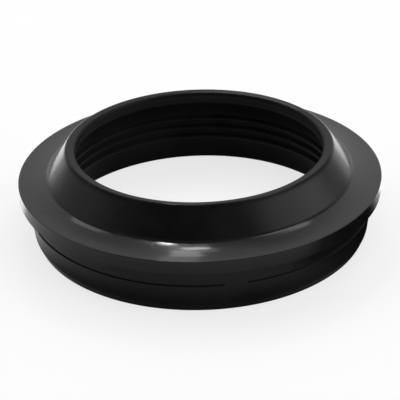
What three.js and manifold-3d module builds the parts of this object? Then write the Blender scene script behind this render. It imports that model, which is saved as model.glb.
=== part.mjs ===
// A dust seal for a motorcycle fork leg: one ring of moulded black rubber.
//
// The spigot is pressed into the counterbore at the top of the fork leg. The flange above it
// lies on the end of the leg. The cone on the flange narrows to the lip, which wipes the fork
// tube, and the wall below the lip carries ribs that hold grease.
//
// Millimetres, +Z up. The origin is the middle of the spigot's end face, and the plain
// stretch in the spigot's groove faces -Y, a little towards +X.

import * as THREE from 'three';
import { mergeVertices } from 'three/addons/utils/BufferGeometryUtils.js';
import Module from 'manifold-3d';

// What the seal fits
const TUBE_RADIUS = 18.5;
const COUNTERBORE_RADIUS = 25.0;

// How much larger or smaller the free rubber is than what it grips
const LIP_SQUEEZE = 0.5;
const SPIGOT_SQUEEZE = 0.2;

// Spigot, which tapers from its groove to the rounded lead at its end
const SPIGOT_HEIGHT = 6.7;
const SPIGOT_WALL = 3.5;
const SPIGOT_TAPER = 0.35;
const LEAD_WIDTH = 0.45;
const LEAD_HEIGHT = 1.1;
const LEAD_ROUND = 0.8;
const MOUTH_CHAMFER = 0.25;

// Groove round the spigot, and the stretch where it is left out
const GROOVE_DROP = 2.25;
const GROOVE_WIDTH = 0.44;
const GROOVE_DEPTH = 0.2;
const BRIDGE_WIDTH = 2.95;
const BRIDGE_ANGLE = THREE.MathUtils.degToRad(10);

// Flange
const FLANGE_OVERHANG = 1.35;
const FLANGE_EDGE_HEIGHT = 2.1;
const FLANGE_TOP_ROUND = 0.08;
const FLANGE_LOW_ROUND = 0.15;

// The flange's top is a shallow dish: its slope grows from the edge to the cone's foot
const DISH_OUTER_WIDTH = 1.35;
const DISH_MIDDLE_WIDTH = 1.4;
const DISH_OUTER_SLOPE = THREE.MathUtils.degToRad(2.2);
const DISH_MIDDLE_SLOPE = THREE.MathUtils.degToRad(6.2);
const DISH_INNER_SLOPE = THREE.MathUtils.degToRad(10.6);
const DISH_ROUND = 18;

// Cone from the flange to the lip, with a hollow round at its foot
const CONE_HEIGHT = 3.915;
const CONE_RUN = 2.95;
const CONE_FOOT_ROUND = 0.9;

// Lip at the top of the cone, whose rim slopes down a little towards the bore
const LIP_WALL = 1.35;
const LIP_RIM_DROP = 0.2;
const LIP_FACE_HEIGHT = 1.6;
const LIP_OUTER_ROUND = 0.5;
const LIP_INNER_ROUND = 0.45;
const LIP_FACE_ROUND = 0.7;

// Recess behind the lip
const RECESS_DEPTH = 1.8;
const RECESS_SLOPE_HEIGHT = 0.9;
const RECESS_HEIGHT = 1.7;
const RECESS_ROUND = 0.5;

// Ribs below the recess
const RIB_COUNT = 3;
const RIB_PITCH = 1.78;
const RIB_START = 0.92;
const RIB_PROUD = 0.5;
const RIB_BASE_WIDTH = 1.1;
const RIB_CREST_WIDTH = 0.35;

// How finely round shapes are cut into flat faces
const RING_SIDES = 96;
const ROUND_STEPS = 2;

// A round takes at most this share of the shorter side next to it
const ROUND_SHARE = 0.45;

// How far a cutter reaches past the surface that it cuts
const CUT_OVERSHOOT = 0.5;

// Radii that follow from what the seal fits
const lipRadius = TUBE_RADIUS - LIP_SQUEEZE;
const lipOuterRadius = lipRadius + LIP_WALL;
const coneFootRadius = lipOuterRadius + CONE_RUN;
const spigotRadius = COUNTERBORE_RADIUS + SPIGOT_SQUEEZE;
const flangeRadius = spigotRadius + FLANGE_OVERHANG;
const dishOuterRadius = flangeRadius - DISH_OUTER_WIDTH;
const dishInnerRadius = dishOuterRadius - DISH_MIDDLE_WIDTH;
const mouthRadius = spigotRadius - SPIGOT_WALL;
const recessRadius = lipRadius + RECESS_DEPTH;

// Heights above the end face
const flangeEdgeTop = SPIGOT_HEIGHT + FLANGE_EDGE_HEIGHT;
const dishOuterHeight = flangeEdgeTop + DISH_OUTER_WIDTH * Math.tan(DISH_OUTER_SLOPE);
const dishInnerHeight = dishOuterHeight + DISH_MIDDLE_WIDTH * Math.tan(DISH_MIDDLE_SLOPE);
const coneFootRise = (dishInnerRadius - coneFootRadius) * Math.tan(DISH_INNER_SLOPE);
const coneFootHeight = dishInnerHeight + coneFootRise;
const rimHeight = coneFootHeight + CONE_HEIGHT;
const rimInnerHeight = rimHeight - LIP_RIM_DROP;
const lipFaceBottom = rimInnerHeight - LIP_FACE_HEIGHT;
const recessTop = lipFaceBottom - RECESS_SLOPE_HEIGHT;
const recessBottom = recessTop - RECESS_HEIGHT;
const grooveHeight = SPIGOT_HEIGHT - GROOVE_DROP;

const wasm = await Module();
wasm.setup();

/** A corner of the ring's section: its radius, its height and how far it is rounded. */
function corner(radius, height, round = 0) {
  return { at: new THREE.Vector2(radius, height), round };
}

/** The points of one corner, rounded by an arc that touches both of its sides. */
function cornerPoints(before, { at, round }, after) {
  if (round === 0) return [at];
  const back = before.clone().sub(at).normalize();
  const ahead = after.clone().sub(at).normalize();
  const halfAngle = Math.acos(THREE.MathUtils.clamp(back.dot(ahead), -1, 1)) / 2;
  const room = ROUND_SHARE * Math.min(before.distanceTo(at), after.distanceTo(at));
  const reach = Math.min(round / Math.tan(halfAngle), room);
  const toCentre = back.clone().add(ahead).setLength(reach / Math.cos(halfAngle));
  const centre = at.clone().add(toCentre);
  const start = back.clone().multiplyScalar(reach).sub(toCentre);
  const end = ahead.clone().multiplyScalar(reach).sub(toCentre);
  const turn = Math.atan2(start.cross(end), start.dot(end));
  return Array.from({ length: ROUND_STEPS + 1 }, (_, step) =>
    start.clone().rotateAround(new THREE.Vector2(), (turn * step) / ROUND_STEPS).add(centre)
  );
}

/** A closed outline through the corners, each rounded as it asks. */
function outline(corners) {
  const count = corners.length;
  const points = corners.flatMap((here, index) =>
    cornerPoints(corners[(index + count - 1) % count].at, here, corners[(index + 1) % count].at)
  );
  return [...points, points[0].clone()];
}

/** The end face, the rounded lead and the spigot's side, from the bore outwards and up. */
function spigotCorners() {
  const leadRadius = spigotRadius - SPIGOT_TAPER;
  return [
    corner(mouthRadius + MOUTH_CHAMFER, 0),
    corner(leadRadius - LEAD_WIDTH, 0),
    corner(leadRadius, LEAD_HEIGHT, LEAD_ROUND),
    corner(spigotRadius, grooveHeight),
    corner(spigotRadius, SPIGOT_HEIGHT),
  ];
}

/** The flange's seat, edge and dished top, up to the cone's foot. */
function flangeCorners() {
  return [
    corner(flangeRadius, SPIGOT_HEIGHT, FLANGE_LOW_ROUND),
    corner(flangeRadius, flangeEdgeTop, FLANGE_TOP_ROUND),
    corner(dishOuterRadius, dishOuterHeight, DISH_ROUND),
    corner(dishInnerRadius, dishInnerHeight, DISH_ROUND),
    corner(coneFootRadius, coneFootHeight, CONE_FOOT_ROUND),
  ];
}

/** The lip's rim, at the top of the cone, and the face that wipes the tube. */
function lipCorners() {
  return [
    corner(lipOuterRadius, rimHeight, LIP_OUTER_ROUND),
    corner(lipRadius, rimInnerHeight, LIP_INNER_ROUND),
    corner(lipRadius, lipFaceBottom, LIP_FACE_ROUND),
  ];
}

/** Radius of the bore's plain wall, which widens from the recess to the mouth. */
function wallRadius(height) {
  return THREE.MathUtils.mapLinear(height, recessBottom, 0, recessRadius, mouthRadius);
}

/** One rib on the bore's wall, from its upper side to its lower one. */
function ribCorners(height) {
  const point = (offset, proud) => corner(wallRadius(height + offset) - proud, height + offset);
  return [
    point(RIB_BASE_WIDTH / 2, 0),
    point(RIB_CREST_WIDTH / 2, RIB_PROUD),
    point(-RIB_CREST_WIDTH / 2, RIB_PROUD),
    point(-RIB_BASE_WIDTH / 2, 0),
  ];
}

/** The recess behind the lip, the ribs and the bore's mouth, from the top down. */
function boreCorners() {
  const firstRib = recessBottom - RIB_START;
  const ribs = Array.from({ length: RIB_COUNT }, (_, n) => ribCorners(firstRib - n * RIB_PITCH));
  return [
    corner(recessRadius, recessTop, RECESS_ROUND),
    corner(recessRadius, recessBottom),
    ...ribs.flat(),
    corner(wallRadius(MOUTH_CHAMFER), MOUTH_CHAMFER),
  ];
}

/** A closed outline turned about the upright axis. */
function revolve(points) {
  return new THREE.LatheGeometry(points, RING_SIDES).rotateX(Math.PI / 2);
}

/** A closed geometry as a solid that can be joined and cut. */
function toSolid(geometry) {
  geometry.deleteAttribute('normal');
  geometry.deleteAttribute('uv');
  const merged = mergeVertices(geometry);
  const vertProperties = new Float32Array(merged.attributes.position.array);
  const triVerts = new Uint32Array(merged.index.array);
  return new wasm.Manifold(new wasm.Mesh({ numProp: 3, vertProperties, triVerts }));
}

/** A solid as a geometry with shaded faces. */
function toGeometry(solid) {
  const { vertProperties, triVerts } = solid.getMesh();
  const geometry = new THREE.BufferGeometry();
  geometry.setAttribute('position', new THREE.BufferAttribute(vertProperties, 3));
  geometry.setIndex(new THREE.BufferAttribute(triVerts, 1));
  geometry.computeVertexNormals();
  return geometry;
}

/** The whole ring before its groove is cut. */
function ringSolid() {
  const corners = [spigotCorners(), flangeCorners(), lipCorners(), boreCorners()].flat();
  return toSolid(revolve(outline(corners)));
}

/** What the groove removes: a thin ring round the spigot, less the stretch left plain. */
function grooveSolid() {
  const inner = spigotRadius - GROOVE_DEPTH;
  const outer = spigotRadius + CUT_OVERSHOOT;
  const low = grooveHeight - GROOVE_WIDTH / 2;
  const high = grooveHeight + GROOVE_WIDTH / 2;
  const section = [corner(inner, low), corner(outer, low), corner(outer, high), corner(inner, high)];
  const reach = GROOVE_DEPTH + 2 * CUT_OVERSHOOT;
  const bridge = new THREE.BoxGeometry(BRIDGE_WIDTH, 2 * reach, 2 * GROOVE_WIDTH);
  bridge.translate(0, -spigotRadius, grooveHeight).rotateZ(BRIDGE_ANGLE);
  return toSolid(revolve(outline(section))).subtract(toSolid(bridge));
}

const rubber = new THREE.MeshStandardMaterial({ color: 0x141415, roughness: 0.45, metalness: 0 });

const dustSeal = new THREE.Mesh(toGeometry(ringSolid().subtract(grooveSolid())), rubber);
dustSeal.name = 'dust_seal';

const seal = new THREE.Group();
seal.add(dustSeal);

export default seal;
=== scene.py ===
"""A fork dust seal of moulded black rubber, standing on a pale floor in soft studio light.

The seal is one ring. Its section is drawn as a closed wire, each corner of the wire is rounded,
and the wire is turned about the upright axis. The groove round the spigot then loses its plain
stretch, and the mould's witness line is pressed in. Lengths in the classes are in millimetres,
and the mesh is in metres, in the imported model's own frame.
"""

import logging
import math
from dataclasses import dataclass, field
from enum import Enum
from typing import Callable, Iterable

import bmesh
import bpy
from mathutils import Matrix, Quaternion, Vector, noise


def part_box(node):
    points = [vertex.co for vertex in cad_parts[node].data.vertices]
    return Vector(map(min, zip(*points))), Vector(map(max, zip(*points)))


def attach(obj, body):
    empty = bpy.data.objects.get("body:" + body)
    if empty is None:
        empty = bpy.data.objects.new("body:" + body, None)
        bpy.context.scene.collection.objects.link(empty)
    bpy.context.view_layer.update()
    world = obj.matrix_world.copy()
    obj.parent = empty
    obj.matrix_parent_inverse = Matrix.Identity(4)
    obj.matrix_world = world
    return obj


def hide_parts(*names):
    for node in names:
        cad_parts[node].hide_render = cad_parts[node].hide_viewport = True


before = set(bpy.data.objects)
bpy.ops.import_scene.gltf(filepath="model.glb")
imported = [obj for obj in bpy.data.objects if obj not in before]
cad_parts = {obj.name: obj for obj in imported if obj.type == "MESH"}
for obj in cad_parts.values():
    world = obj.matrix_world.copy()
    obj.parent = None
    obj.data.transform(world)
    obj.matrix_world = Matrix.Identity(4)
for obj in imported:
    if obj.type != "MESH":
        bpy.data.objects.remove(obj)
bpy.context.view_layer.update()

NODE = "dust_seal"
BODY = "root"

MM = 0.001
UP = Vector((0.0, 0.0, 1.0))

log = logging.getLogger("dust_seal")


def direction(azimuth: float, elevation: float = 0.0) -> Vector:
    """The direction at an azimuth and an elevation.

    Args:
        azimuth: Degrees from the front, which is -Y, towards the right, which is +X.
        elevation: Degrees above the horizon.

    Returns:
        A unit vector.
    """
    turn, rise = math.radians(azimuth), math.radians(elevation)
    level = Vector((math.sin(turn), -math.cos(turn), 0.0))
    return level * math.cos(rise) + UP * math.sin(rise)


def cylindrical(point: Vector) -> tuple[float, float, float]:
    """A point's azimuth in degrees from the front, its radius and its height in millimetres.

    Args:
        point: The point, in metres.

    Returns:
        Azimuth, radius and height.
    """
    azimuth = math.degrees(math.atan2(point.x, -point.y))
    return azimuth, math.hypot(point.x, point.y) / MM, point.z / MM


def place_mesh(
    shape: bmesh.types.BMesh,
    name: str,
    finish: bpy.types.Material,
) -> bpy.types.Object:
    """Makes a shape into an object of the scene, and frees the shape.

    Args:
        shape: The finished shape.
        name: Name of the object and its mesh.
        finish: Its material.

    Returns:
        The object.
    """
    mesh = bpy.data.meshes.new(name)
    shape.to_mesh(mesh)
    shape.free()
    mesh.materials.append(finish)
    placed = bpy.data.objects.new(name, mesh)
    bpy.context.scene.collection.objects.link(placed)
    return placed


def calculate(
    tree: bpy.types.NodeTree,
    operation: str,
    first: bpy.types.NodeSocket,
    second: bpy.types.NodeSocket | float = 0.0,
) -> bpy.types.NodeSocket:
    """Adds a calculation to a material's or the world's nodes.

    Args:
        tree: The nodes.
        operation: What is calculated, by the name that the node gives it.
        first: The first value.
        second: The second value, from another node or plain.

    Returns:
        The result.
    """
    node = tree.nodes.new("ShaderNodeMath")
    node.operation = operation
    tree.links.new(first, node.inputs[0])
    if isinstance(second, bpy.types.NodeSocket):
        tree.links.new(second, node.inputs[1])
    else:
        node.inputs[1].default_value = second
    return node.outputs["Value"]


class Ease(Enum):
    """How a value changes between two ends, by the name that the node gives it."""

    EVEN = "LINEAR"
    SOFT = "SMOOTHSTEP"


def change(
    tree: bpy.types.NodeTree,
    value: bpy.types.NodeSocket,
    start: float,
    end: float,
    low: float = 0.0,
    high: float = 1.0,
    ease: Ease = Ease.EVEN,
    clamp: bool = True,
) -> bpy.types.NodeSocket:
    """Adds a change from one value to another to a material's or the world's nodes.

    Args:
        tree: The nodes.
        value: The value that the change follows.
        start: Where the change starts.
        end: Where it ends.
        low: The result at the start.
        high: The result at the end.
        ease: Whether the change is even or soft at both ends.
        clamp: Whether the result stops at the start and the end.

    Returns:
        The result.
    """
    node = tree.nodes.new("ShaderNodeMapRange")
    node.interpolation_type = ease.value
    node.clamp = clamp
    settings = {"From Min": start, "From Max": end, "To Min": low, "To Max": high}
    for name, setting in settings.items():
        node.inputs[name].default_value = setting
    tree.links.new(value, node.inputs["Value"])
    return node.outputs["Result"]


@dataclass(frozen=True)
class Corner:
    """One corner of the ring's section.

    Attributes:
        radius: Distance from the ring's axis, in millimetres.
        height: Height above the spigot's end face, in millimetres.
        rounding: Radius of the round on the corner, in millimetres, or 0 for a crisp one.
    """

    radius: float
    height: float
    rounding: float = 0.0

    def point(self) -> Vector:
        """The corner as a point of the wire, in metres."""
        return Vector((0.0, -self.radius, self.height)) * MM


@dataclass(frozen=True)
class Spigot:
    """The part that is pressed into the fork leg, with its thin groove.

    Attributes:
        radius: Radius above the groove.
        height: Height from the end face to the flange.
        taper: How much the radius shrinks from the groove down to the lead.
        lead_width: Width of the lead at the lower end.
        lead_height: Height of the lead at the lower end.
        lead_round: Radius of the round between the lead and the side.
        end_round: Radius of the round between the lead and the end face.
        root_round: Radius of the hollow round under the flange.
        groove_drop: Distance of the groove's middle below the flange.
        groove_width: Width of the groove.
        groove_depth: Depth of the groove.
        groove_round: Radius of the rounds on the groove's edges.
    """

    radius: float = 25.2
    height: float = 6.7
    taper: float = 0.35
    lead_width: float = 0.45
    lead_height: float = 1.1
    lead_round: float = 0.8
    end_round: float = 0.18
    root_round: float = 0.15
    groove_drop: float = 2.25
    groove_width: float = 0.44
    groove_depth: float = 0.2
    groove_round: float = 0.1

    @property
    def groove_height(self) -> float:
        """Height of the groove's middle."""
        return self.height - self.groove_drop

    def side_radius(self, height: float) -> float:
        """The side's radius at a height, groove left out.

        Args:
            height: Height above the end face, in millimetres.

        Returns:
            The radius in millimetres.
        """
        share = (height - self.lead_height) / (self.groove_height - self.lead_height)
        return self.radius - self.taper * (1.0 - min(max(share, 0.0), 1.0))

    def corners(self) -> list[Corner]:
        """The lead, the side and the groove.

        Returns:
            The corners, from the end face up to the flange.
        """
        low = self.groove_height - self.groove_width / 2
        high = self.groove_height + self.groove_width / 2
        floor = self.radius - self.groove_depth
        return [
            Corner(self.radius - self.taper - self.lead_width, 0.0, self.end_round),
            Corner(self.radius - self.taper, self.lead_height, self.lead_round),
            Corner(self.side_radius(low), low, self.groove_round),
            Corner(floor, low, self.groove_round),
            Corner(floor, high, self.groove_round),
            Corner(self.radius, high, self.groove_round),
            Corner(self.radius, self.height, self.root_round),
        ]


@dataclass(frozen=True)
class Flange:
    """The rim that lies on the end of the fork leg.

    Attributes:
        radius: Outer radius.
        edge_height: Height of the outer edge.
        dish: Width and slope, in degrees, of each ring of the dished top, from the edge inwards.
        dish_slope: Slope of the top between the last of these rings and the cone's foot.
        dish_round: Radius of the hollow rounds that join the slopes.
        top_round: Radius of the upper edge's round.
        low_round: Radius of the lower edge's round.
    """

    radius: float
    edge_height: float = 2.1
    dish: tuple[tuple[float, float], ...] = ((1.35, 2.2), (1.4, 6.2))
    dish_slope: float = 10.6
    dish_round: float = 18.0
    top_round: float = 0.08
    low_round: float = 0.15

    def corners(self, seat: float) -> list[Corner]:
        """The lower edge, the upper edge and the dish in the top.

        Args:
            seat: Height of the flange's underside, in millimetres.

        Returns:
            The corners, from the bottom up.
        """
        radius, height = self.radius, seat + self.edge_height
        corners = [Corner(radius, seat, self.low_round), Corner(radius, height, self.top_round)]
        for width, slope in self.dish:
            radius -= width
            height += width * math.tan(math.radians(slope))
            corners.append(Corner(radius, height, self.dish_round))
        return corners

    def foot_height(self, last: Corner, foot_radius: float) -> float:
        """Height of the cone's foot, at the end of the dish's last slope.

        Args:
            last: The dish's last corner.
            foot_radius: Radius of the cone's foot.

        Returns:
            The height in millimetres.
        """
        return last.height + (last.radius - foot_radius) * math.tan(math.radians(self.dish_slope))


@dataclass(frozen=True)
class Lip:
    """The cone and the lip at its top, which wipes the fork tube.

    Attributes:
        radius: Radius of the wiping face.
        rim_height: Height of the rim's outer edge above the end face.
        rim_drop: How much lower the rim's inner edge lies.
        wall: Width of the rim.
        cone_run: How far the cone's foot lies outside the rim.
        foot_round: Radius of the hollow round at the cone's foot.
        face_height: Height of the wiping face.
        outer_round: Radius of the rim's outer round.
        inner_round: Radius of the rim's inner round.
        face_round: Radius of the round at the wiping face's lower edge.
    """

    radius: float = 18.0
    rim_height: float = 13.2
    rim_drop: float = 0.2
    wall: float = 1.35
    cone_run: float = 2.95
    foot_round: float = 0.9
    face_height: float = 1.6
    outer_round: float = 0.5
    inner_round: float = 0.45
    face_round: float = 0.7

    @property
    def foot_radius(self) -> float:
        """Radius of the cone's foot."""
        return self.radius + self.wall + self.cone_run

    @property
    def face_bottom(self) -> float:
        """Height of the wiping face's lower edge."""
        return self.rim_height - self.rim_drop - self.face_height

    def corners(self, foot_height: float) -> list[Corner]:
        """The cone's foot, the rim and the wiping face.

        Args:
            foot_height: Height of the cone's foot, in millimetres.

        Returns:
            The corners, from the cone's foot over the rim and down the face.
        """
        outer = self.radius + self.wall
        return [
            Corner(self.foot_radius, foot_height, self.foot_round),
            Corner(outer, self.rim_height, self.outer_round),
            Corner(self.radius, self.rim_height - self.rim_drop, self.inner_round),
            Corner(self.radius, self.face_bottom, self.face_round),
        ]


@dataclass(frozen=True)
class Bore:
    """The recess behind the lip, the ribs that hold grease, and the mouth below them.

    Attributes:
        recess_radius: Radius of the recess.
        recess_slope: Height of the slope from the lip down to the recess.
        recess_height: Height of the recess's upright wall.
        recess_round: Radius of the hollow round at the recess's top.
        mouth_radius: Radius of the bore at the end face.
        mouth_chamfer: Width of the chamfer at the mouth.
        rib_count: Number of ribs.
        rib_pitch: Distance between two ribs.
        rib_start: Distance of the first rib below the recess.
        rib_proud: How far a rib stands out from the wall.
        rib_base: Width of a rib at the wall.
        rib_crest: Width of a rib at its crest.
        rib_round: Radius of the rounds on a rib's crest and at its foot.
    """

    recess_radius: float = 19.8
    recess_slope: float = 0.9
    recess_height: float = 1.7
    recess_round: float = 0.5
    mouth_radius: float = 21.7
    mouth_chamfer: float = 0.25
    rib_count: int = 3
    rib_pitch: float = 1.78
    rib_start: float = 0.92
    rib_proud: float = 0.5
    rib_base: float = 1.1
    rib_crest: float = 0.35
    rib_round: float = 0.16

    def wall_radius(self, height: float, top: float) -> float:
        """Radius of the plain wall, which widens from the recess down to the mouth.

        Args:
            height: Height above the end face, in millimetres.
            top: Height of the wall's upper end.

        Returns:
            The radius in millimetres.
        """
        share = (top - height) / top
        return self.recess_radius + share * (self.mouth_radius - self.recess_radius)

    def corners(self, top: float) -> list[Corner]:
        """The bore's wall from the lip down to the end face.

        Args:
            top: Height of the wiping face's lower edge, in millimetres.

        Returns:
            The corners, from the top down.
        """
        recess_top = top - self.recess_slope
        recess_bottom = recess_top - self.recess_height
        corners = [
            Corner(self.recess_radius, recess_top, self.recess_round),
            Corner(self.recess_radius, recess_bottom),
        ]
        for rib in range(self.rib_count):
            middle = recess_bottom - self.rib_start - rib * self.rib_pitch
            profile = (
                (self.rib_base / 2, 0.0),
                (self.rib_crest / 2, self.rib_proud),
                (-self.rib_crest / 2, self.rib_proud),
                (-self.rib_base / 2, 0.0),
            )
            for offset, proud in profile:
                height = middle + offset
                wall = self.wall_radius(height, recess_bottom)
                corners.append(Corner(wall - proud, height, self.rib_round))
        chamfer = self.mouth_chamfer
        corners.append(Corner(self.wall_radius(chamfer, recess_bottom), chamfer))
        corners.append(Corner(self.mouth_radius + chamfer, 0.0))
        return corners


@dataclass(frozen=True)
class MouldMarks:
    """What the mould leaves on the ring besides its section.

    Attributes:
        bridge_azimuth: Direction of the middle of the groove's plain stretch, in degrees from
            the front towards the right.
        bridge_width: Width of the plain stretch.
        bridge_ramp: Width of the ramp at each end of the groove.
        witness_azimuth: Direction of the upright witness line, in degrees likewise.
        witness_width: Width of the witness line.
        witness_depth: Depth of the witness line.
        slack: How far inside the spigot's side a point may lie and still take the line.
        waviness: How far the surface swings in and out.
        wave_length: Length of one such swing.
    """

    bridge_azimuth: float = 10.0
    bridge_width: float = 2.95
    bridge_ramp: float = 0.22
    witness_azimuth: float = 7.65
    witness_width: float = 0.3
    witness_depth: float = 0.11
    slack: float = 0.01
    waviness: float = 0.008
    wave_length: float = 6.0


class RoundSteps(Enum):
    """How many flat steps a round is divided into."""

    SMALL = 4
    LARGE = 8


@dataclass(frozen=True)
class Fineness:
    """How finely the ring is divided.

    Attributes:
        turn_steps: Number of steps round the ring.
        longest_step: Greatest length of a step along the section, in millimetres.
        large_round: Least radius of a round that counts as large, in millimetres.
        round_share: Greatest share of the shorter side next to it that a round takes.
        cut_reach: Share of the spigot's radius outside which cuts are made, so that the bore
            stays as it is.
        cut_snap: How close to a cut a point counts as on it, in metres.
    """

    turn_steps: int = 360
    longest_step: float = 0.7
    large_round: float = 0.3
    round_share: float = 0.45
    cut_reach: float = 0.97
    cut_snap: float = 1e-7


@dataclass(frozen=True)
class MouldedRubber:
    """Black rubber as it leaves a polished mould, with a thin film of mould oil.

    Attributes:
        name: Name of the material.
        deep: Colour in the darker patches.
        pale: Colour in the paler patches.
        matt: Roughness where the surface is dull.
        sleek: Roughness where the surface is shiny.
        ior: Index of refraction.
        full_level: Specular level where the polish is full.
        plain_level: Specular level kept on the shader's own socket, beneath the linked
            value. plain_level: Specular level for an exported copy, which keeps one value for
            the polish.
        film: Share of the surface that the oil film covers.
        film_roughness: Roughness of the film.
        bore_roughness: Roughness of the rubber and its film inside the bore.
        outside_shine_and_shade: Shine of the outside at some heights, each a height in
            millimetres and a share.
        bore_shine_and_shade: Shine inside the bore, likewise.
        bore_radius: Radius that parts the bore from the outside up to the flange.
        lip_radius: Radius that parts the bore from the outside at the rim.
        bore_slant: How much the parting radius grows for each millimetre below the rim.
        rim_height: Height of the rim.
        patch_size: Size of the patches, in millimetres.
        patch_detail: Number of finer layers in the patches.
        colour_patches: Values of the patches between which the colour pales.
        gloss_patches: Values of the patches between which the shine dulls.
        grain_size: Size of the fine grain, in millimetres.
        grain_detail: Number of finer layers in the grain.
        grain_height: Height of the fine grain, in millimetres.
        turning_pitch: Distance between the mould's turning marks, in millimetres.
        turning_detail: Number of finer layers in the turning marks.
        turning_height: Height of the turning marks, in millimetres.
    """

    name: str = "moulded_rubber"
    deep: tuple[float, float, float] = (0.0045, 0.0045, 0.0047)
    pale: tuple[float, float, float] = (0.0083, 0.0083, 0.0086)
    matt: float = 0.34
    sleek: float = 0.22
    ior: float = 1.18
    full_level: float = 0.5
    plain_level: float = 0.3
    film: float = 0.34
    film_roughness: float = 0.07
    bore_roughness: float = 0.42
    # Painted shade: the low shares near the floor and at 6.75 mm, under the flange's edge, stand
    # in for shade, besides a duller press-fit finish.
    outside_shine_and_shade: tuple[tuple[float, float], ...] = (
        (0.0, 0.05),
        (2.0, 0.1),
        (4.4, 0.4),
        (6.4, 0.54),
        (6.75, 0.15),
        (7.0, 0.6),
        (8.1, 0.71),
        (9.1, 0.97),
        (12.6, 0.95),
        (13.0, 0.4),
    )
    # Painted shade: the low shares in the bore stand in for its dark inside, besides its duller
    # greasy finish.
    bore_shine_and_shade: tuple[tuple[float, float], ...] = (
        (0.0, 0.05),
        (2.6, 0.08),
        (3.6, 0.14),
        (8.5, 0.14),
        (8.9, 0.07),
        (11.3, 0.07),
        (12.4, 0.46),
        (12.9, 0.45),
    )
    bore_radius: float = 23.0
    lip_radius: float = 18.2
    bore_slant: float = 0.863
    rim_height: float = 13.2
    patch_size: float = 7.0
    patch_detail: float = 3.0
    colour_patches: tuple[float, float] = (0.35, 0.68)
    gloss_patches: tuple[float, float] = (0.3, 0.7)
    grain_size: float = 0.16
    grain_detail: float = 2.0
    grain_height: float = 0.0035
    turning_pitch: float = 0.22
    turning_detail: float = 1.0
    turning_height: float = 0.0022

    def material(self) -> bpy.types.Material:
        """Builds the material from procedural nodes.

        Returns:
            The finished material.
        """
        material = bpy.data.materials.new(self.name)
        material.use_nodes = True
        tree = material.node_tree
        shader = tree.nodes["Principled BSDF"]
        shader.inputs["IOR"].default_value = self.ior
        shader.inputs["Specular IOR Level"].default_value = self.plain_level
        shader.inputs["Coat Roughness"].default_value = self.film_roughness
        place = tree.nodes.new("ShaderNodeTexCoord").outputs["Object"]
        patches = self._noise(tree, place, self.patch_size, self.patch_detail)
        self._colour(tree, patches, shader)
        split = tree.nodes.new("ShaderNodeSeparateXYZ")
        tree.links.new(place, split.inputs["Vector"])
        radius = self._radius(tree, split)
        outside = self._outside(tree, radius, split.outputs["Z"])
        self._gloss(tree, patches, outside, shader)
        self._set_shine_and_shade(tree, outside, split.outputs["Z"], shader)
        self._relief(tree, place, radius, split.outputs["Z"], shader)
        return material

    def _radius(self, tree: bpy.types.NodeTree, split: bpy.types.Node) -> bpy.types.NodeSocket:
        """Finds the distance from the ring's axis.

        Args:
            tree: The material's nodes.
            split: The node that gives the object coordinates' parts.

        Returns:
            The distance in metres.
        """
        flat = tree.nodes.new("ShaderNodeCombineXYZ")
        tree.links.new(split.outputs["X"], flat.inputs["X"])
        tree.links.new(split.outputs["Y"], flat.inputs["Y"])
        length = tree.nodes.new("ShaderNodeVectorMath")
        length.operation = "LENGTH"
        tree.links.new(flat.outputs["Vector"], length.inputs[0])
        return length.outputs["Value"]

    def _outside(
        self,
        tree: bpy.types.NodeTree,
        radius: bpy.types.NodeSocket,
        height: bpy.types.NodeSocket,
    ) -> bpy.types.NodeSocket:
        """Tells the outside from the bore.

        Args:
            tree: The material's nodes.
            radius: Distance from the axis, in metres.
            height: Height above the end face, in metres.

        Returns:
            1 on the outside and 0 inside the bore.
        """
        slant = change(
            tree,
            height,
            start=self.rim_height * MM,
            end=(self.rim_height - 1.0) * MM,
            low=self.lip_radius * MM,
            high=(self.lip_radius + self.bore_slant) * MM,
            clamp=False,
        )
        parting = calculate(tree, "MINIMUM", slant, self.bore_radius * MM)
        return calculate(tree, "GREATER_THAN", radius, parting)

    def _set_shine_and_shade(
        self,
        tree: bpy.types.NodeTree,
        outside: bpy.types.NodeSocket,
        height: bpy.types.NodeSocket,
        shader: bpy.types.Node,
    ) -> None:
        """Lowers the shine of the spigot, the rim and the bore, partly as a duller finish and
        partly as painted shade.

        Args:
            tree: The material's nodes.
            outside: 1 on the outside and 0 inside the bore.
            height: Height above the end face, in metres.
            shader: The shader that takes the shine.
        """
        share = change(tree, height, start=0.0, end=self.rim_height * MM)
        level = tree.nodes.new("ShaderNodeMix")
        tree.links.new(outside, level.inputs["Factor"])
        for slot, stops in (("A", self.bore_shine_and_shade), ("B", self.outside_shine_and_shade)):
            ramp = self._levels(tree, stops)
            tree.links.new(share, ramp.inputs["Fac"])
            tree.links.new(ramp.outputs["Color"], level.inputs[slot])
        # The weaker specular level and coat paint shade where the ramps are low.
        for socket, full in (("Specular IOR Level", self.full_level), ("Coat Weight", self.film)):
            amount = calculate(tree, "MULTIPLY", level.outputs["Result"], full)
            tree.links.new(amount, shader.inputs[socket])

    def _levels(
        self,
        tree: bpy.types.NodeTree,
        stops: tuple[tuple[float, float], ...],
    ) -> bpy.types.Node:
        """Adds a ramp of shares over the ring's height.

        Args:
            tree: The material's nodes.
            stops: The shares, each a height in millimetres and a share.

        Returns:
            The ramp, which takes the height as a share of the ring's height.
        """
        ramp = tree.nodes.new("ShaderNodeValToRGB")
        elements = ramp.color_ramp.elements
        elements[1].position = stops[-1][0] / self.rim_height
        for place, _ in stops[1:-1]:
            elements.new(place / self.rim_height)
        for element, (_, level) in zip(elements, stops):
            element.color = (level, level, level, 1.0)
        return ramp

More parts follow.
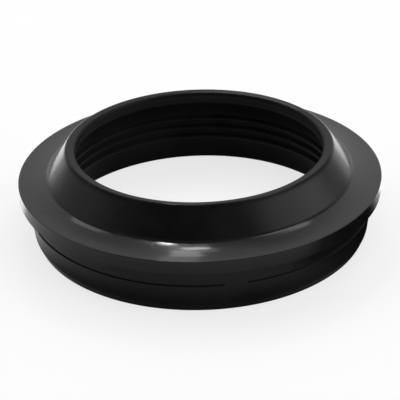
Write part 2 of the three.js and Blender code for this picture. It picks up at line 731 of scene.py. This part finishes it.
    def _noise(
        self,
        tree: bpy.types.NodeTree,
        place: bpy.types.NodeSocket,
        size: float,
        detail: float,
    ) -> bpy.types.NodeSocket:
        """Adds a noise pattern.

        Args:
            tree: The material's nodes.
            place: The coordinates that it reads.
            size: Size of its features, in millimetres.
            detail: Number of finer layers.

        Returns:
            The pattern's value, about 0.5 in the middle.
        """
        pattern = tree.nodes.new("ShaderNodeTexNoise")
        pattern.inputs["Scale"].default_value = 1.0 / (size * MM)
        pattern.inputs["Detail"].default_value = detail
        tree.links.new(place, pattern.inputs["Vector"])
        return pattern.outputs["Fac"]

    def _colour(
        self,
        tree: bpy.types.NodeTree,
        patches: bpy.types.NodeSocket,
        shader: bpy.types.Node,
    ) -> None:
        """Colours the rubber, a little paler in some patches than in others.

        Args:
            tree: The material's nodes.
            patches: The pattern of patches.
            shader: The shader that takes the colour.
        """
        ramp = tree.nodes.new("ShaderNodeValToRGB")
        ends = zip(ramp.color_ramp.elements, self.colour_patches, (self.deep, self.pale))
        for element, position, colour in ends:
            element.position = position
            element.color = (*colour, 1.0)
        tree.links.new(patches, ramp.inputs["Fac"])
        tree.links.new(ramp.outputs["Color"], shader.inputs["Base Color"])

    def _gloss(
        self,
        tree: bpy.types.NodeTree,
        patches: bpy.types.NodeSocket,
        outside: bpy.types.NodeSocket,
        shader: bpy.types.Node,
    ) -> None:
        """Varies the roughness from patch to patch, and makes the bore rougher.

        Args:
            tree: The material's nodes.
            patches: The pattern of patches.
            outside: 1 on the outside and 0 inside the bore.
            shader: The shader that takes the roughness.
        """
        roughness = change(tree, patches, *self.gloss_patches, low=self.sleek, high=self.matt)
        rubber = tree.nodes.new("ShaderNodeMix")
        rubber.inputs["A"].default_value = self.bore_roughness
        tree.links.new(roughness, rubber.inputs["B"])
        film = tree.nodes.new("ShaderNodeMix")
        film.inputs["A"].default_value = self.bore_roughness
        film.inputs["B"].default_value = self.film_roughness
        for layer, socket in ((rubber, "Roughness"), (film, "Coat Roughness")):
            tree.links.new(outside, layer.inputs["Factor"])
            tree.links.new(layer.outputs["Result"], shader.inputs[socket])

    def _relief(
        self,
        tree: bpy.types.NodeTree,
        place: bpy.types.NodeSocket,
        radius: bpy.types.NodeSocket,
        height: bpy.types.NodeSocket,
        shader: bpy.types.Node,
    ) -> None:
        """Raises the fine grain and the mould's turning marks, which run round the ring.

        Args:
            tree: The material's nodes.
            place: Object coordinates.
            radius: Distance from the axis, in metres.
            height: Height above the end face, in metres.
            shader: The shader that takes the normal.
        """
        section = tree.nodes.new("ShaderNodeCombineXYZ")
        tree.links.new(radius, section.inputs["X"])
        tree.links.new(height, section.inputs["Y"])
        across = section.outputs["Vector"]
        grain = self._noise(tree, place, self.grain_size, self.grain_detail)
        marks = self._noise(tree, across, self.turning_pitch, self.turning_detail)
        fine, coarse = (tree.nodes.new("ShaderNodeBump") for _ in range(2))
        reliefs = ((fine, grain, self.grain_height), (coarse, marks, self.turning_height))
        for bump, pattern, relief in reliefs:
            bump.inputs["Strength"].default_value = 1.0
            bump.inputs["Distance"].default_value = relief * MM
            tree.links.new(pattern, bump.inputs["Height"])
        tree.links.new(fine.outputs["Normal"], coarse.inputs["Normal"])
        tree.links.new(coarse.outputs["Normal"], shader.inputs["Normal"])


@dataclass(frozen=True)
class PaintedFloor:
    """Matt white paint on the studio floor.

    Attributes:
        name: Name of the material.
        colour: Colour of the paint.
        roughness: Roughness of the paint.
        mottle: How much darker the paint is in its darker patches.
        mottle_size: Size of the patches, in metres.
        haze: Share of plain white over the paint, where it is seen directly or in a reflection.
    """

    name: str = "floor_paint"
    colour: float = 0.96
    roughness: float = 0.9
    mottle: float = 0.01
    mottle_size: float = 0.05
    haze: float = 0.72

    def material(self) -> bpy.types.Material:
        """Builds the material from procedural nodes.

        Returns:
            The finished material.
        """
        material = bpy.data.materials.new(self.name)
        material.use_nodes = True
        tree = material.node_tree
        shader = tree.nodes["Principled BSDF"]
        shader.inputs["Roughness"].default_value = self.roughness
        shader.inputs["Specular IOR Level"].default_value = 0.0
        pattern = tree.nodes.new("ShaderNodeTexNoise")
        pattern.inputs["Scale"].default_value = 1.0 / self.mottle_size
        place = tree.nodes.new("ShaderNodeTexCoord")
        tree.links.new(place.outputs["Object"], pattern.inputs["Vector"])
        ramp = tree.nodes.new("ShaderNodeValToRGB")
        dark = self.colour - self.mottle
        ramp.color_ramp.elements[0].color = (dark, dark, dark, 1.0)
        ramp.color_ramp.elements[1].color = (self.colour, self.colour, self.colour, 1.0)
        tree.links.new(pattern.outputs["Fac"], ramp.inputs["Fac"])
        tree.links.new(ramp.outputs["Color"], shader.inputs["Base Color"])
        self._whiten(tree, shader)
        return material

    def _whiten(self, tree: bpy.types.NodeTree, shader: bpy.types.Node) -> None:
        """Lays plain white over the paint where it is seen, without lighting anything by it.

        Args:
            tree: The material's nodes.
            shader: The shader of the paint.
        """
        rays = tree.nodes.new("ShaderNodeLightPath")
        seen = rays.outputs["Is Camera Ray"]
        for kind in ("Is Glossy Ray", "Is Transmission Ray"):
            seen = calculate(tree, "MAXIMUM", seen, rays.outputs[kind])
        share = calculate(tree, "MULTIPLY", seen, self.haze)
        white = tree.nodes.new("ShaderNodeEmission")
        layers = tree.nodes.new("ShaderNodeMixShader")
        tree.links.new(share, layers.inputs["Fac"])
        tree.links.new(shader.outputs["BSDF"], layers.inputs[1])
        tree.links.new(white.outputs["Emission"], layers.inputs[2])
        output = tree.nodes["Material Output"]
        tree.links.new(layers.outputs["Shader"], output.inputs["Surface"])


@dataclass
class DustSeal:
    """The seal: one ring of moulded rubber.

    Attributes:
        flange: Sizes of the flange.
        spigot: Sizes of the spigot.
        lip: Sizes of the cone and the lip.
        bore: Sizes of the bore.
        marks: Marks that the mould leaves.
        finish: The rubber's finish.
        fineness: How finely the ring is divided.
    """

    flange: Flange
    spigot: Spigot = field(default_factory=Spigot)
    lip: Lip = field(default_factory=Lip)
    bore: Bore = field(default_factory=Bore)
    marks: MouldMarks = field(default_factory=MouldMarks)
    finish: MouldedRubber = field(default_factory=MouldedRubber)
    fineness: Fineness = field(default_factory=Fineness)

    @classmethod
    def from_frame(cls) -> "DustSeal":
        """Takes the flange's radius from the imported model.

        Returns:
            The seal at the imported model's size.
        """
        low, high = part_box(NODE)
        return cls(flange=Flange(radius=(high.x - low.x) / 2 / MM))

    def build(self) -> bpy.types.Object:
        """Models the ring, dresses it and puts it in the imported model's place.

        Returns:
            The finished piece.
        """
        ring = bmesh.new()
        self._draw_section(ring)
        self._turn(ring)
        self._fill_bridge(ring)
        self._press_witness_line(ring)
        self._settle(ring)
        bmesh.ops.recalc_face_normals(ring, faces=ring.faces[:])
        for face in ring.faces:
            face.smooth = True
        normals = self._weighted_normals(ring)
        piece = place_mesh(ring, "seal_ring", self.finish.material())
        piece.data.normals_split_custom_set_from_vertices(normals)
        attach(piece, BODY)
        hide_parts(NODE)
        return piece

    def _corners(self) -> list[Corner]:
        """The section's corners.

        Returns:
            The corners, from the end face outwards, up, over the lip and down the bore.
        """
        flange = self.flange.corners(self.spigot.height)
        foot_height = self.flange.foot_height(flange[-1], self.lip.foot_radius)
        return [
            *self.spigot.corners(),
            *flange,
            *self.lip.corners(foot_height),
            *self.bore.corners(self.lip.face_bottom),
        ]

    def _draw_section(self, ring: bmesh.types.BMesh) -> None:
        """Draws the section as a closed wire, rounds its corners and divides its long sides.

        Args:
            ring: The empty mesh that takes the wire.
        """
        corners = self._corners()
        verts = [ring.verts.new(corner.point()) for corner in corners]
        for start, end in zip(verts, verts[1:] + verts[:1]):
            ring.edges.new((start, end))
        reaches = [self._reach(corners, index) for index in range(len(corners))]
        for corner, vert, reach in zip(corners, verts, reaches):
            if reach > 0.0:
                large = corner.rounding >= self.fineness.large_round
                steps = RoundSteps.LARGE if large else RoundSteps.SMALL
                bmesh.ops.bevel(
                    ring,
                    geom=[vert],
                    offset=reach * MM,
                    offset_type="OFFSET",
                    segments=steps.value,
                    profile=0.5,
                    affect="VERTICES",
                    material=-1,
                )
        longest = self.fineness.longest_step * MM
        for edge in ring.edges[:]:
            cuts = math.ceil(edge.calc_length() / longest) - 1
            if cuts > 0:
                bmesh.ops.subdivide_edges(ring, edges=[edge], cuts=cuts)

    def _reach(self, corners: list[Corner], index: int) -> float:
        """How far along its two sides a corner's round reaches.

        Args:
            corners: The whole section.
            index: Which corner is meant.

        Returns:
            The distance in millimetres, at most a share of the shorter side.
        """
        here = corners[index]
        if here.rounding == 0.0:
            return 0.0
        back = (corners[index - 1].point() - here.point()) / MM
        ahead = (corners[(index + 1) % len(corners)].point() - here.point()) / MM
        reach = here.rounding / math.tan(back.angle(ahead) / 2)
        share = self.fineness.round_share
        return min(reach, share * back.length, share * ahead.length)

    def _turn(self, ring: bmesh.types.BMesh) -> None:
        """Turns the wire once about the upright axis.

        Args:
            ring: The wire, which becomes the ring.
        """
        bmesh.ops.spin(
            ring,
            geom=[*ring.verts, *ring.edges],
            cent=(0.0, 0.0, 0.0),
            axis=UP,
            dvec=(0.0, 0.0, 0.0),
            angle=math.tau,
            steps=self.fineness.turn_steps,
            use_merge=True,
            use_duplicate=False,
        )

    def _cut_upright(self, ring: bmesh.types.BMesh, azimuths: Iterable[float]) -> None:
        """Cuts upright planes through the spigot's front, so that edges run along them.

        Args:
            ring: The turned ring.
            azimuths: Directions of the planes, in degrees from the front towards the right.
        """
        reach = self.fineness.cut_reach * self.spigot.radius * MM
        top = (self.spigot.groove_height + self.spigot.groove_width) * MM
        for azimuth in azimuths:
            outward = direction(azimuth)
            near = [face for face in ring.faces if self._is_near(face, outward, reach, top)]
            edges = dict.fromkeys(edge for face in near for edge in face.edges)
            verts = dict.fromkeys(vert for face in near for vert in face.verts)
            bmesh.ops.bisect_plane(
                ring,
                geom=[*near, *edges, *verts],
                dist=self.fineness.cut_snap,
                plane_co=(0.0, 0.0, 0.0),
                plane_no=direction(azimuth + 90.0),
            )

    @staticmethod
    def _is_near(face: bmesh.types.BMFace, outward: Vector, reach: float, top: float) -> bool:
        """Whether a face lies on the spigot's side, towards a direction.

        Args:
            face: The face.
            outward: The direction.
            reach: Least distance along the direction.
            top: Greatest height.

        Returns:
            Whether both limits hold.
        """
        middle = face.calc_center_median()
        return middle.dot(outward) > reach and middle.z < top

    def _fill_bridge(self, ring: bmesh.types.BMesh) -> None:
        """Fills the groove along its plain stretch, with a short ramp at each end.

        Args:
            ring: The turned ring.
        """
        spigot, marks = self.spigot, self.marks
        half = math.degrees(marks.bridge_width / 2 / spigot.radius)
        ramp = math.degrees(marks.bridge_ramp / spigot.radius)
        sides = (-half - ramp, -half, half, half + ramp)
        self._cut_upright(ring, [marks.bridge_azimuth + side for side in sides])
        reach = spigot.groove_width / 2 + spigot.groove_round
        for vert in ring.verts:
            azimuth, radius, height = cylindrical(vert.co)
            aside = abs(azimuth - marks.bridge_azimuth)
            side = spigot.side_radius(height)
            inside = abs(height - spigot.groove_height) < reach
            if inside and aside < half + ramp and side > radius > side - 2 * spigot.groove_depth:
                fill = min(1.0, (half + ramp - aside) / ramp)
                vert.co += direction(azimuth) * (side - radius) * fill * MM

    def _press_witness_line(self, ring: bmesh.types.BMesh) -> None:
        """Presses a shallow upright line into the spigot, from the groove to the lead.

        Args:
            ring: The turned ring.
        """
        spigot, marks = self.spigot, self.marks
        half = math.degrees(marks.witness_width / 2 / spigot.radius)
        sides = (-half, -half / 2, 0.0, half / 2, half)
        self._cut_upright(ring, [marks.witness_azimuth + side for side in sides])
        top = spigot.groove_height - spigot.groove_width / 2
        for vert in ring.verts:
            azimuth, radius, height = cylindrical(vert.co)
            aside = abs(azimuth - marks.witness_azimuth)
            on_side = radius > spigot.side_radius(height) - marks.slack
            if aside < half and spigot.lead_height / 2 < height < top and on_side:
                fade = min(1.0, (height - spigot.lead_height / 2) / spigot.lead_height)
                depth = marks.witness_depth * fade * (1.0 - aside / half)
                vert.co -= direction(azimuth) * depth * MM

    @staticmethod
    def _weighted_normals(ring: bmesh.types.BMesh) -> list[Vector]:
        """Weighs each vertex's normal by area, so that flats stay flat beside small rounds.

        Args:
            ring: The finished ring.

        Returns:
            One normal for each vertex.
        """
        ring.normal_update()
        shares = {face: face.normal * face.calc_area() for face in ring.faces}
        return [sum((shares[f] for f in v.link_faces), Vector()).normalized() for v in ring.verts]

    def _settle(self, ring: bmesh.types.BMesh) -> None:
        """Lets the surface swing very slightly in and out, as soft rubber does.

        The end face and the flange's outer edge keep their place, so that the seal stands flat
        and keeps its size.

        Args:
            ring: The finished ring.
        """
        marks = self.marks
        ring.normal_update()
        moves: list[tuple[bmesh.types.BMVert, Vector]] = []
        for vert in ring.verts:
            _, radius, height = cylindrical(vert.co)
            room = min(height, self.lip.rim_height - height, self.flange.radius - radius)
            swing = noise.noise(vert.co / (marks.wave_length * MM)) * marks.waviness
            moves.append((vert, vert.normal * swing * min(1.0, max(0.0, room)) * MM))
        for vert, move in moves:
            vert.co += move


@dataclass(frozen=True)
class StudioFloor:
    """The floor that the seal stands on.

    Attributes:
        radius: Radius of the floor, in metres.
        sides: Number of sides of its outline.
        paint: The floor's finish.
    """

    radius: float = 4.0
    sides: int = 96
    paint: PaintedFloor = field(default_factory=PaintedFloor)

    def build(self) -> bpy.types.Object:
        """Models the floor as a flat disc.

        Returns:
            The floor.
        """
        disc = bmesh.new()
        bmesh.ops.create_circle(disc, cap_ends=True, segments=self.sides, radius=self.radius)
        floor = place_mesh(disc, "studio_floor", self.paint.material())
        return floor


@dataclass(frozen=True)
class ReflectionCard:
    """A card on the floor beside the seal that shows only as a reflection in its sides: painted
    shade when black, a painted bright reflection when it glows.

    Attributes:
        name: Name of the card.
        middle: Place of the card's middle on the floor, in millimetres.
        width: Its size along X, in millimetres.
        depth: Its size along Y, in millimetres.
        glow: Its brightness, where 0 is black and 1 is white.
        lift: Its height above the floor, in millimetres.
        fade: Width of its soft border, in millimetres.
    """

    name: str
    middle: tuple[float, float]
    width: float
    depth: float
    glow: float
    lift: float = 0.2
    fade: float = 4.0

    def build(self) -> bpy.types.Object:
        """Makes the card.

        Returns:
            The card.
        """
        sheet = bmesh.new()
        bmesh.ops.create_grid(sheet, x_segments=1, y_segments=1, size=0.5 * MM)
        bmesh.ops.scale(sheet, vec=(self.width, self.depth, 1.0), verts=sheet.verts)
        bmesh.ops.translate(sheet, vec=Vector((*self.middle, self.lift)) * MM, verts=sheet.verts)
        card = place_mesh(sheet, self.name, self._material())
        # Only glossy rays see the card, so it paints shade or a bright reflection without
        # lighting or shading anything.
        card.visible_camera = False
        card.visible_diffuse = False
        card.visible_shadow = False
        return card

    def _material(self) -> bpy.types.Material:
        """Builds the card's finish, which fades out towards its border.

        Returns:
            The material.
        """
        material = bpy.data.materials.new(self.name)
        material.use_nodes = True
        tree = material.node_tree
        shader = tree.nodes["Principled BSDF"]
        shader.inputs["Base Color"].default_value = (0.0, 0.0, 0.0, 1.0)
        shader.inputs["Emission Color"].default_value = (1.0, 1.0, 1.0, 1.0)
        shader.inputs["Emission Strength"].default_value = self.glow
        shader.inputs["Specular IOR Level"].default_value = 0.0
        place = tree.nodes.new("ShaderNodeTexCoord").outputs["Object"]
        split = tree.nodes.new("ShaderNodeSeparateXYZ")
        tree.links.new(place, split.inputs["Vector"])
        covers: list[bpy.types.NodeSocket] = []
        for axis, middle, size in zip("XY", self.middle, (self.width, self.depth)):
            offset = calculate(tree, "SUBTRACT", split.outputs[axis], middle * MM)
            aside = calculate(tree, "ABSOLUTE", offset)
            rim, inner = size / 2 * MM, (size / 2 - self.fade) * MM
            covers.append(change(tree, aside, start=rim, end=inner, ease=Ease.SOFT))
        tree.links.new(calculate(tree, "MULTIPLY", *covers), shader.inputs["Alpha"])
        return material


class Shine(Enum):
    """Whether a lamp shows in glossy surfaces or only lights them."""

    MIRRORED = True
    UNSEEN = False


@dataclass(frozen=True)
class SoftBox:
    """A rectangular soft lamp that faces the seal.

    Attributes:
        name: Name of the lamp.
        azimuth: Its direction, in degrees from the front towards the right.
        elevation: Its height above the horizon, in degrees.
        width: Its width, in metres.
        height: Its height, in metres.
        radiance: Brightness of its face, where 1 looks white.
        distance: Its distance from the seal, in metres.
        shine: Whether it shows in glossy surfaces.
        lean: How far it is turned about its own facing direction, in degrees.
    """

    name: str
    azimuth: float
    elevation: float
    width: float
    height: float
    radiance: float
    distance: float = 0.7
    shine: Shine = Shine.MIRRORED
    lean: float = 0.0

    def build(self) -> bpy.types.Object:
        """Makes the lamp.

        Returns:
            The lamp.
        """
        lamp = bpy.data.lights.new(self.name, "AREA")
        lamp.shape = "RECTANGLE"
        lamp.size = self.width
        lamp.size_y = self.height
        lamp.energy = self.radiance * math.pi * self.width * self.height
        holder = bpy.data.objects.new(self.name, lamp)
        towards = direction(self.azimuth, self.elevation)
        holder.location = towards * self.distance
        facing = towards.to_track_quat("Z", "Y") @ Quaternion(UP, math.radians(self.lean))
        holder.rotation_euler = facing.to_euler()
        holder.visible_camera = False
        holder.visible_glossy = self.shine.value
        bpy.context.scene.collection.objects.link(holder)
        return holder


@dataclass(frozen=True)
class Slope:
    """A smooth step in brightness along one axis of the room.

    Attributes:
        axis: The axis, X, Y or Z.
        start: Where the step starts along the unit direction, from -1 to 1.
        end: Where it ends.
        low: Value before the start.
        high: Value after the end.
    """

    axis: str
    start: float
    end: float
    low: float
    high: float

    def node(self, tree: bpy.types.NodeTree, split: bpy.types.Node) -> bpy.types.NodeSocket:
        """Adds the step to the world's nodes.

        Args:
            tree: The world's nodes.
            split: The node that gives the direction's parts.

        Returns:
            The step's value.
        """
        along = split.outputs[self.axis]
        return change(tree, along, self.start, self.end, self.low, self.high, Ease.SOFT)


@dataclass(frozen=True)
class Glow:
    """A soft bright patch on the room's walls.

    Attributes:
        azimuth: Its direction, in degrees from the front towards the right.
        elevation: Its height above the horizon, in degrees.
        core: Half width of its evenly bright middle, in degrees.
        reach: Half width at which it has faded out, in degrees.
        strength: Brightness of its middle.
    """

    azimuth: float
    elevation: float
    core: float
    reach: float
    strength: float

    def node(
        self,
        tree: bpy.types.NodeTree,
        heading: bpy.types.NodeSocket,
    ) -> bpy.types.NodeSocket:
        """Adds the patch to the world's nodes.

        Args:
            tree: The world's nodes.
            heading: The direction that is looked at.

        Returns:
            The patch's brightness.
        """
        nearness = tree.nodes.new("ShaderNodeVectorMath")
        nearness.operation = "DOT_PRODUCT"
        nearness.inputs[1].default_value = direction(self.azimuth, self.elevation)
        tree.links.new(heading, nearness.inputs[0])
        return change(
            tree,
            nearness.outputs["Value"],
            start=math.cos(math.radians(self.reach)),
            end=math.cos(math.radians(self.core)),
            high=self.strength,
            ease=Ease.SOFT,
        )


@dataclass(frozen=True)
class StudioRoom:
    """The room round the seal: a bright wall behind it, dim on the camera's side and above.

    Attributes:
        sides: Brightness from the camera's side to the middle of the room.
        wall: What the wall behind the seal adds.
        wall_foot: What the wall's lowest part, straight behind the seal, adds or takes.
        ceiling: Share of the light that is left above the wall.
        glows: Soft bright patches.
    """

    sides: Slope = Slope("Y", start=-0.62, end=0.1, low=0.03, high=0.5)
    wall: Slope = Slope("Y", start=0.6, end=0.85, low=0.0, high=0.54)
    wall_foot: Slope = Slope("Y", start=0.86, end=0.97, low=0.0, high=-0.34)
    ceiling: Slope = Slope("Z", start=0.5, end=0.85, low=1.0, high=0.42)
    glows: tuple[Glow, ...] = (
        Glow(azimuth=81.0, elevation=26.0, core=7.0, reach=38.0, strength=1.06),
        Glow(azimuth=70.0, elevation=30.0, core=0.0, reach=60.0, strength=0.16),
        Glow(azimuth=165.0, elevation=27.0, core=6.0, reach=30.0, strength=0.2),
    )

    def build(self) -> bpy.types.World:
        """Makes the world.

        Returns:
            The world, set as the scene's.
        """
        world = bpy.data.worlds.new("studio_room")
        world.use_nodes = True
        tree = world.node_tree
        heading = tree.nodes.new("ShaderNodeTexCoord").outputs["Generated"]
        split = tree.nodes.new("ShaderNodeSeparateXYZ")
        tree.links.new(heading, split.inputs["Vector"])
        light = self.sides.node(tree, split)
        for slope in (self.wall, self.wall_foot):
            light = calculate(tree, "ADD", light, slope.node(tree, split))
        light = calculate(tree, "MULTIPLY", light, self.ceiling.node(tree, split))
        for glow in self.glows:
            light = calculate(tree, "ADD", light, glow.node(tree, heading))
        background = tree.nodes["Background"]
        background.inputs["Color"].default_value = (1.0, 1.0, 1.0, 1.0)
        tree.links.new(light, background.inputs["Strength"])
        bpy.context.scene.world = world
        return world


@dataclass(frozen=True)
class PortraitCamera:
    """The camera, at the photograph's viewing angle.

    Attributes:
        distance: Distance from the middle of the seal's foot, in millimetres.
        elevation: Height above the horizon, in degrees.
        tilt: How far it looks above that middle, in degrees.
        swing: How far it looks beside that middle, in degrees.
        roll: How far it leans, in degrees.
        lens: Focal length, in millimetres.
        sensor: Width of the sensor, in millimetres.
        nearest: Distance from which things show, in millimetres.
    """

    distance: float = 177.445
    elevation: float = 29.406
    tilt: float = 0.981
    swing: float = 0.025
    roll: float = 1.66
    lens: float = 105.83
    sensor: float = 36.0
    nearest: float = 10.0

    def build(self) -> bpy.types.Object:
        """Makes the camera and sets it as the scene's.

        Returns:
            The camera.
        """
        data = bpy.data.cameras.new("portrait")
        data.lens = self.lens
        data.sensor_width = self.sensor
        data.clip_start = self.nearest * MM
        camera = bpy.data.objects.new("portrait", data)
        place = direction(0.0, self.elevation) * self.distance * MM
        camera.matrix_world = (
            Matrix.Translation(place)
            @ Matrix.Rotation(math.pi / 2 - math.radians(self.elevation), 4, "X")
            @ Matrix.Rotation(math.radians(self.swing), 4, "Y")
            @ Matrix.Rotation(math.radians(self.tilt), 4, "X")
            @ Matrix.Rotation(math.radians(-self.roll), 4, "Z")
        )
        bpy.context.scene.collection.objects.link(camera)
        bpy.context.scene.camera = camera
        return camera


def reflection_cards() -> list[ReflectionCard]:
    """The cards on the floor.

    Returns:
        A black card at the front right that paints shade into the seal's reflections, and glowing
        ones further back that paint bright reflections.
    """
    return [
        # Painted shade: a black card, seen only in reflections, stands in for the shadowed floor
        # at the front right.
        ReflectionCard("painted_shade_card", (41.0, -12.5), width=54.0, depth=36.0, glow=0.0, fade=9.0),
        # Painted reflections: glowing cards that light nothing and show only in the seal's sides.
        ReflectionCard("back_card", (-6.0, 66.0), width=158.0, depth=76.0, glow=2.3),
        ReflectionCard("left_card", (-62.0, 15.0), width=68.0, depth=30.0, glow=2.3),
        ReflectionCard("right_card", (60.0, 17.0), width=64.0, depth=26.0, glow=3.2),
    ]


def soft_boxes() -> list[SoftBox]:
    """The studio's lamps.

    Returns:
        Two large lamps that give the rubber its plain light, and small ones that it mirrors.
    """
    large = [
        SoftBox("key", -115.0, 50.0, width=0.5, height=0.5, radiance=1.7, shine=Shine.UNSEEN),
        SoftBox(
            "fill",
            20.0,
            58.0,
            width=0.7,
            height=0.7,
            radiance=1.4,
            distance=0.8,
            shine=Shine.UNSEEN,
        ),
    ]
    small = [
        SoftBox("right_side", 138.0, 60.0, width=0.17, height=0.17, radiance=5.0),
        SoftBox("back_right", 159.5, 49.5, width=0.05, height=0.12, radiance=4.0, lean=-20.0),
        SoftBox("back_left", -156.5, 44.0, width=0.055, height=0.1, radiance=2.8, lean=8.0),
        SoftBox("back_spot", 189.0, 54.3, width=0.028, height=0.024, radiance=130.0, lean=-20.0),
        SoftBox("back_strip", 181.4, 50.8, width=0.04, height=0.034, radiance=18.0, lean=-20.0),
        SoftBox("back_veil", 182.0, 50.0, width=0.066, height=0.1, radiance=3.0, lean=-10.0),
        SoftBox("back_tail", 182.2, 44.5, width=0.035, height=0.085, radiance=7.5, lean=-6.0),
        SoftBox("back_end", 182.2, 38.0, width=0.035, height=0.08, radiance=2.5),
    ]
    return [*large, *small]


def main() -> None:
    """Builds the camera, the studio and the seal, and reports each piece."""
    logging.basicConfig(level=logging.INFO, format="%(name)s: %(message)s")
    bpy.context.scene.view_settings.view_transform = "Standard"
    makers: list[Callable[[], bpy.types.ID]] = [
        PortraitCamera().build,
        StudioRoom().build,
        StudioFloor().build,
        *(card.build for card in reflection_cards()),
        *(box.build for box in soft_boxes()),
    ]
    for make in makers:
        log.info("%s is in place", make().name)
    seal = DustSeal.from_frame().build()
    log.info("%s has %d faces", seal.name, len(seal.data.polygons))


if __name__ == "__main__":
    main()
